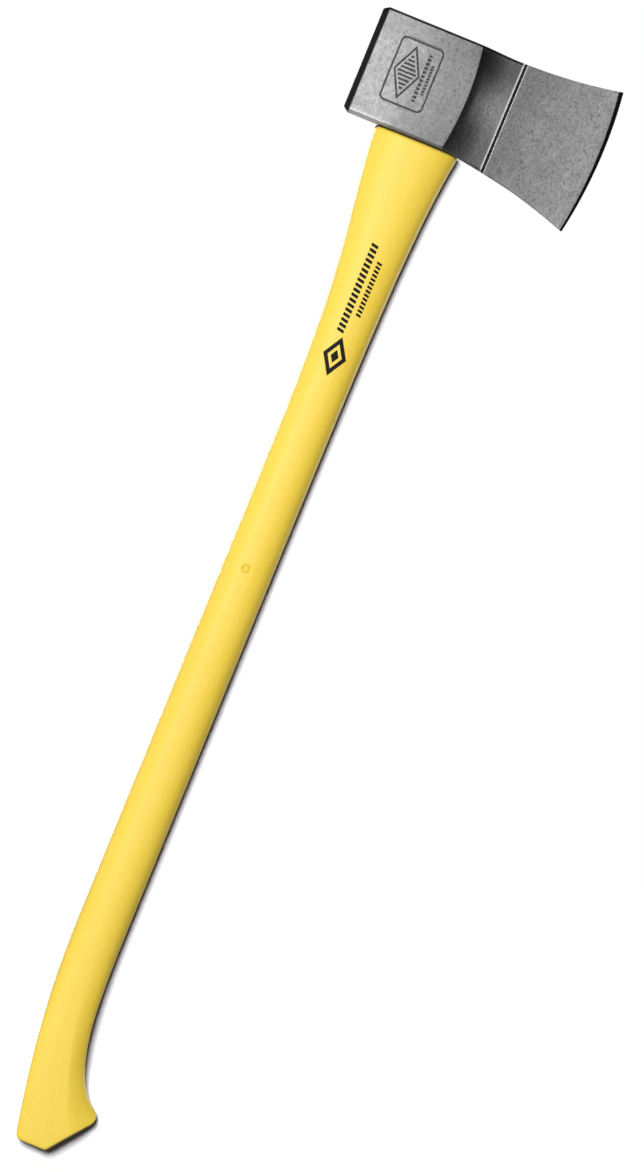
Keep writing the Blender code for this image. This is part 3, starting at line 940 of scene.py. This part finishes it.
def dash_row(x, z_low, z_high, height, count, slant):
    """Slanted dashes in a row up the handle, in mm."""
    pitch = (z_high - z_low) / count
    near, far, wide = x - height / 2, x + height / 2, pitch * DASH_SHARE
    starts = [z_low + pitch * i for i in range(count)]
    return [((near, z + slant), (far, z), (far, z + wide), (near, z + wide + slant)) for z in starts]


def diamond_frame(x, z, half_x, half_z, inner):
    """Four quadrilaterals that make a diamond's outline, and one that fills its middle, in mm."""
    tips, holes, core = (
        [(x - half_x * size, z), (x, z - half_z * size), (x + half_x * size, z), (x, z + half_z * size)]
        for size in (1, inner, inner * DIAMOND_CORE)
    )
    sides = [(tips[i], tips[(i + 1) % 4], holes[(i + 1) % 4], holes[i]) for i in range(4)]
    return [*sides, core]


def build_print():
    """Rows of dashes and a diamond on both faces, which stand in for printed lettering and a mark."""
    groups = {
        "print_long_row": dash_row(-3.6, -160, -86, 5.8, 18, 1.3),
        "print_short_row": dash_row(4.8, -144, -98, 4.2, 14, 1.0),
        "print_diamond": diamond_frame(-0.2, -178.5, 9.5, 16.0, 0.62),
    }
    ink = black_ink()
    for name, quads in groups.items():
        for side, word in ((1, "front"), (-1, "back")):
            points, faces = [], []
            for quad in quads:
                patch, patch_faces = print_patch(quad)
                start = len(points) * len(patch)
                points.append(patch * (1, side, 1))
                faces += [tuple(start + n for n in face) for face in patch_faces]
            obj = mesh_object(name + "_" + word, np.vstack(points), faces)
            face_outwards(obj)
            shade(obj)
            obj.data.materials.append(ink)
            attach(obj, "root")


# ---- materials


class Tree:
    """A node tree, with short calls for the nodes that both the materials and the world use."""

    def __init__(self, tree):
        self.tree = tree

    def add(self, kind, values=(), **settings):
        """A new node, with these values in its inputs and these settings."""
        node = self.tree.nodes.new(kind)
        for key, value in settings.items():
            setattr(node, key, value)
        for socket, value in dict(values).items():
            node.inputs[socket].default_value = value
        return node

    def link(self, source, target):
        self.tree.links.new(source, target)

    def ramp(self, source, low, high, start=0.3, end=0.7):
        """source mapped from the range start to end onto low to high."""
        values = {"From Min": start, "From Max": end, "To Min": low, "To Max": high}
        node = self.add("ShaderNodeMapRange", values)
        self.link(source, node.inputs["Value"])
        return node.outputs["Result"]

    def math(self, operation, *values):
        node = self.add("ShaderNodeMath", operation=operation)
        for socket, value in zip(node.inputs, values):
            if isinstance(value, (int, float)):
                socket.default_value = value
            else:
                self.link(value, socket)
        return node.outputs["Value"]


class Nodes(Tree):
    """A material's node tree."""

    def __init__(self, name):
        self.material = bpy.data.materials.new(name)
        self.material.use_nodes = True
        super().__init__(self.material.node_tree)
        self.shader = self.tree.nodes["Principled BSDF"]
        self.place = self.add("ShaderNodeTexCoord").outputs["Object"]

    def noise(self, scale, detail=3.0, roughness=0.55, stretch=(1, 1, 1), distortion=0.0):
        """Noise with cells about 1/scale metres across, and longer along an axis with a small stretch."""
        mapping = self.add("ShaderNodeMapping", {"Scale": stretch})
        self.link(self.place, mapping.inputs["Vector"])
        values = {"Scale": scale, "Detail": detail, "Roughness": roughness, "Distortion": distortion}
        node = self.add("ShaderNodeTexNoise", values)
        self.link(mapping.outputs["Vector"], node.inputs["Vector"])
        return node.outputs["Fac"]

    def cells(self, scale):
        """The distance to the nearest of points scattered about 1/scale metres apart."""
        node = self.add("ShaderNodeTexVoronoi", {"Scale": scale})
        self.link(self.place, node.inputs["Vector"])
        return node.outputs["Distance"]

    def attribute(self, name):
        return self.add("ShaderNodeAttribute", attribute_name=name).outputs["Fac"]

    def blend(self, factor, first, second):
        """Two colours mixed by the socket factor. Each is a socket or an (r, g, b) tuple."""
        node = self.add("ShaderNodeMix", data_type="RGBA")
        self.link(factor, node.inputs[0])
        sockets = [s for s in node.inputs if s.name in ("A", "B") and s.type == "RGBA"]
        for socket, value in zip(sockets, (first, second)):
            if isinstance(value, tuple):
                socket.default_value = (*value, 1.0)
            else:
                self.link(value, socket)
        return [s for s in node.outputs if s.type == "RGBA"][0]

    def bump(self, height, distance, strength, under=None):
        node = self.add("ShaderNodeBump", {"Strength": strength, "Distance": distance})
        self.link(height, node.inputs["Height"])
        if under is not None:
            self.link(under, node.inputs["Normal"])
        return node.outputs["Normal"]

    def finish(self, colour=None, roughness=None, normal=None, **constants):
        """Links what varies to the shader, sets what doesn't on it, and returns the material."""
        for socket, value in (("Base Color", colour), ("Roughness", roughness), ("Normal", normal)):
            if value is not None:
                self.link(value, self.shader.inputs[socket])
        for key, value in constants.items():
            self.shader.inputs[key.replace("_", " ")].default_value = value
        return self.material


def forged_steel():
    """Blasted steel, painted dark where the attribute black says, as shade and dark reflections, and painted
    light where bright says, as highlights.
    """
    n = Nodes("forged_steel")
    cloud = n.noise(34, detail=3)
    mottle = n.noise(290, detail=4, roughness=0.62, distortion=0.3)
    grain = n.noise(640, detail=2, roughness=0.6)
    pits = n.noise(820, detail=2)
    colour = n.blend(n.ramp(mottle, 0, 1, 0.34, 0.66), (0.155, 0.155, 0.156), (0.350, 0.350, 0.351))
    colour = n.blend(n.ramp(grain, 0, 0.70, 0.40, 0.62), colour, (0.480, 0.480, 0.481))
    colour = n.blend(n.ramp(cloud, 0, 0.34), colour, (0.180, 0.180, 0.181))
    colour = n.blend(n.ramp(pits, 0, 0.35, 0.64, 0.74), colour, (0.08, 0.08, 0.08))
    # painted shade and dark reflections, by the attribute black
    black = n.math("MULTIPLY", n.attribute("black"), n.ramp(mottle, 0.94, 1.14))
    colour = n.blend(n.ramp(black, 0, 1, 0, 1), colour, (0.012, 0.012, 0.013))
    # painted highlights and reflections, by the attribute bright
    colour = n.blend(n.math("MULTIPLY", n.attribute("bright"), 0.32), colour, (0.74, 0.74, 0.74))
    roughness = n.ramp(grain, 0.50, 0.64)
    normal = n.bump(cloud, 0.8 * MM, 0.25)
    normal = n.bump(mottle, 0.22 * MM, 0.8, under=normal)
    normal = n.bump(grain, 0.12 * MM, 0.8, under=normal)
    return n.finish(colour, roughness, normal, Metallic=0.92)


def yellow_plastic():
    """Satin moulded plastic with a fine spark-eroded texture and a faint flow pattern."""
    made = bpy.data.materials.get("yellow_plastic")
    if made:
        return made
    n = Nodes("yellow_plastic")
    flow = n.noise(22, detail=3, stretch=(1, 1, 0.25))
    patch = n.noise(70, detail=3)
    fine = n.noise(1300, detail=3, roughness=0.6)
    scuff = n.noise(480, detail=4, roughness=0.7, stretch=(1, 1, 0.7))
    colour = n.blend(n.ramp(flow, 0, 1), (0.900, 0.640, 0.050), (0.930, 0.690, 0.062))
    colour = n.blend(n.ramp(patch, 0, 0.45), colour, (0.93, 0.650, 0.085))
    colour = n.blend(n.ramp(fine, 0, 0.50), colour, (0.84, 0.55, 0.030))
    colour = n.blend(n.ramp(scuff, 0, 0.36, 0.46, 0.70), colour, (0.95, 0.75, 0.15))
    roughness = n.ramp(scuff, 0.44, 0.56)
    normal = n.bump(fine, 0.08 * MM, 0.7)
    normal = n.bump(flow, 0.5 * MM, 0.15, under=normal)
    return n.finish(colour, roughness, normal, Specular_IOR_Level=0.5)


def fibreglass():
    """The sawn end of a pultruded rod: pale resin with the ends of its glass strands."""
    n = Nodes("fibreglass")
    strands = n.cells(1900)
    cloud = n.noise(180)
    colour = n.blend(n.ramp(strands, 0, 1, 0.1, 0.6), (0.66, 0.62, 0.42), (0.34, 0.30, 0.17))
    colour = n.blend(n.ramp(cloud, 0, 0.5), colour, (0.50, 0.47, 0.33))
    roughness = n.ramp(cloud, 0.45, 0.7)
    return n.finish(colour, roughness, n.bump(strands, 0.08 * MM, 0.6))


def cast_epoxy():
    """Glossy brown resin with small pits where bubbles broke."""
    n = Nodes("cast_epoxy")
    cloud = n.noise(120, detail=4)
    bubbles = n.ramp(n.cells(700), 0, 1, 0.0, 0.25)
    colour = n.blend(n.ramp(cloud, 0, 1), (0.055, 0.038, 0.018), (0.13, 0.085, 0.035))
    roughness = n.ramp(cloud, 0.15, 0.32)
    return n.finish(colour, roughness, n.bump(bubbles, 0.15 * MM, 0.5))


def black_rubber():
    """Dull black rubber."""
    n = Nodes("black_rubber")
    cloud = n.noise(300, detail=4)
    fine = n.noise(1600)
    colour = n.blend(n.ramp(cloud, 0, 1), (0.010, 0.010, 0.011), (0.035, 0.034, 0.033))
    roughness = n.ramp(cloud, 0.6, 0.8)
    return n.finish(colour, roughness, n.bump(fine, 0.06 * MM, 0.6))


def black_ink():
    """Matt black ink, with wear that lets some yellow show through."""
    n = Nodes("black_ink")
    wear_and_sheen = n.noise(700, detail=4, roughness=0.7)
    colour = n.blend(n.ramp(wear_and_sheen, 0, 0.5, 0.64, 0.80), (0.007, 0.006, 0.005), (0.08, 0.06, 0.015))
    normal = n.bump(wear_and_sheen, 0.02 * MM, 0.4)
    return n.finish(colour, n.ramp(wear_and_sheen, 0.55, 0.70), normal, Specular_IOR_Level=0.15)


# ---- stage, lights and camera

PHOTO_ROLL = math.radians(22.24)
VIEW_CENTRE = Vector((57.65 * MM, 0.0, -345.6 * MM))
VIEW_HEIGHT = 902.4 * MM
LENS_MM = 400
SENSOR_MM = 36
LIGHTS_AIM = Vector((0, 0, -0.35))
LIGHTS = (  # name, azimuth and elevation in degrees, distance and size in metres, power in watts
    ("key_front", -17, 8, 3.0, 1.3, 72),
    ("key_back", -163, 8, 3.0, 1.3, 65),
    ("fill_left_front", -72, 5, 3.0, 1.6, 14),
    ("fill_left_back", -108, 5, 3.0, 1.6, 14),
    ("fill_right", 136, 14, 2.8, 1.0, 22),
    ("top", 90, 88, 2.8, 1.4, 30),
)
CARD_LIGHT = ("card_light", -20, 9, 3.0, 1.65, 1450)
FLOOR_HALF = 40.0
FLOOR_DROP = 11 * MM
PALE = (0.9, 0.9, 0.9)
CARD_DEPTH = 9 * MM
CARD_SOLE_DEPTH = 2 * MM
CARD_TOE_Z = -755 * MM
CARD_TOE_RUN = 35 * MM
CARD_STEPS = (-4.5 * MM, 9.5 * MM)
CARD_THICKNESS = 0.2 * MM
CARD_TINT = (0.100, 0.098, 0.103)


def build_camera():
    """Square on to the side and rolled, so that the handle leans."""
    data = bpy.data.cameras.new("photo_camera")
    data.sensor_width = SENSOR_MM
    data.lens = LENS_MM
    distance = VIEW_HEIGHT / SENSOR_MM * LENS_MM
    data.clip_end = 4 * distance
    camera = bpy.data.objects.new("photo_camera", data)
    bpy.context.scene.collection.objects.link(camera)
    camera.location = VIEW_CENTRE + Vector((0, -distance, 0))
    camera.rotation_euler = (math.pi / 2, -PHOTO_ROLL, 0)
    bpy.context.scene.camera = camera


def area_light(name, azimuth, elevation, distance, size, power):
    """A round soft light aimed near the handle's middle. Azimuth 0 is the camera's side, and 90 is +X."""
    data = bpy.data.lights.new(name, "AREA")
    data.shape = "DISK"
    data.size = size
    data.energy = power
    light = bpy.data.objects.new(name, data)
    turn, rise = math.radians(azimuth), math.radians(elevation)
    level = math.cos(rise)
    out = Vector((math.sin(turn) * level, -math.cos(turn) * level, math.sin(rise)))
    light.location = LIGHTS_AIM + out * distance
    light.rotation_euler = out.to_track_quat("Z", "Y").to_euler()
    light.visible_camera = False
    bpy.context.scene.collection.objects.link(light)
    return light


def build_lights():
    """Nearly the same soft key in front and behind, and fills from both sides and from above."""
    for settings in LIGHTS:
        area_light(*settings)


def build_world():
    """White to the camera. What lights the axe is dim, dimmest to the sides, with a glow from below."""
    world = bpy.data.worlds.new("studio")
    world.use_nodes = True
    bpy.context.scene.world = world
    n = Tree(world.node_tree)
    n.tree.nodes.clear()
    split = n.add("ShaderNodeSeparateXYZ")
    n.link(n.add("ShaderNodeTexCoord").outputs["Generated"], split.inputs["Vector"])
    level = n.ramp(n.math("ABSOLUTE", split.outputs["Y"]), 0.05, 0.36, 0.30, 0.95)
    below = n.ramp(split.outputs["Z"], 0.0, 0.6, -0.15, -0.75)
    studio = n.add("ShaderNodeBackground")
    n.link(n.math("ADD", level, below), studio.inputs["Strength"])
    white = n.add("ShaderNodeBackground", {"Color": (1, 1, 1, 1)})
    mix = n.add("ShaderNodeMixShader")
    n.link(n.add("ShaderNodeLightPath").outputs["Is Camera Ray"], mix.inputs["Fac"])
    n.link(studio.outputs["Background"], mix.inputs[1])
    n.link(white.outputs["Background"], mix.inputs[2])
    n.link(mix.outputs["Shader"], n.add("ShaderNodeOutputWorld").inputs["Surface"])


def pale(name, colour, glow, far_glow=None):
    """A plain pale surface with this glow. A far glow is what it grows to with distance from the axe."""
    n = Nodes(name)
    n.shader.inputs["Emission Strength"].default_value = glow
    if far_glow is not None:
        run = n.add("ShaderNodeVectorMath", operation="LENGTH")
        n.link(n.place, run.inputs[0])
        n.link(n.ramp(run.outputs["Value"], glow, far_glow, 0.9, 2.6), n.shader.inputs["Emission Strength"])
    n.shader.inputs["Base Color"].default_value = (*colour, 1)
    n.shader.inputs["Emission Color"].default_value = (1, 1, 1, 1)
    return n.finish(Roughness=0.9, Specular_IOR_Level=0.0)


def only_seen(obj):
    """The camera sees it, but it neither lights nor shades the axe."""
    for flag in ("visible_diffuse", "visible_glossy", "visible_transmission", "visible_shadow"):
        setattr(obj, flag, False)


def build_floor():
    """A pale floor, far enough below the butt not to hide the shadow under the sole."""
    signs = ((-1, -1), (1, -1), (1, 1), (-1, 1))
    corners = [(x * FLOOR_HALF, y * FLOOR_HALF, BUTT_Z - FLOOR_DROP) for x, y in signs]
    floor = mesh_object("floor", corners, [(0, 1, 2, 3)])
    floor.data.materials.append(pale("floor", PALE, 0.35, 1.0))
    only_seen(floor)


def card_outline():
    """(x, z) along the handle's front edge, round the toe and back along the sole."""
    line = [(front_edge(z), z) for z in np.linspace(-0.5 * MM, BEND_Z, 60)]
    line += [bezier(FRONT_FOOT, share) for share in np.linspace(0.03, 1, 40)]
    return np.vstack([line, sole_outline(np.linspace(0.99, 0.11, 60))])


def card_sheet(name, behind, tint, glow):
    """One side of the card: a strip along the handle's outline, nearer to Y = 0 at the sole."""
    line = card_outline()
    along = np.gradient(line, axis=0)
    out = np.column_stack([-along[:, 1], along[:, 0]]) / np.linalg.norm(along, axis=1)[:, None]
    depth = lerp(CARD_DEPTH, CARD_SOLE_DEPTH, smooth((CARD_TOE_Z - line[:, 1]) / CARD_TOE_RUN)) + behind
    edges = []
    for step in CARD_STEPS:
        x, z = (line + out * step).T
        edges.append(np.column_stack([x, depth, np.minimum(z, head_foot(x) - 0.4 * MM)]))
    count = len(line)
    faces = [(i, i + 1, count + i + 1, count + i) for i in range(count - 1)]
    card = mesh_object(name, np.vstack(edges), faces)
    card.data.materials.append(pale(name, tint, glow))
    only_seen(card)
    return card


def build_card(jacket):
    """A strip of card behind the handle's edge, that takes the handle's soft shadow.

    Its own light, which lights nothing else and is shaded by the handle alone, keeps its open part white. The
    back of the card glows white.
    """
    front = card_sheet("card_front", 0.0, CARD_TINT, 0.0)
    card_sheet("card_back", CARD_THICKNESS, PALE, 1.0)
    light = area_light(*CARD_LIGHT)
    lit, shading = (bpy.data.collections.new(name) for name in ("card_only", "jacket_only"))
    lit.objects.link(front)
    shading.objects.link(jacket)
    light.light_linking.receiver_collection = lit
    light.light_linking.blocker_collection = shading


def main():
    bpy.context.scene.view_settings.view_transform = "Standard"
    build_camera()
    build_world()
    build_lights()
    build_floor()
    build_head()
    build_card(build_jacket())
    build_plugs()
    build_core()
    build_epoxy()
    build_seal()
    build_print()


main()
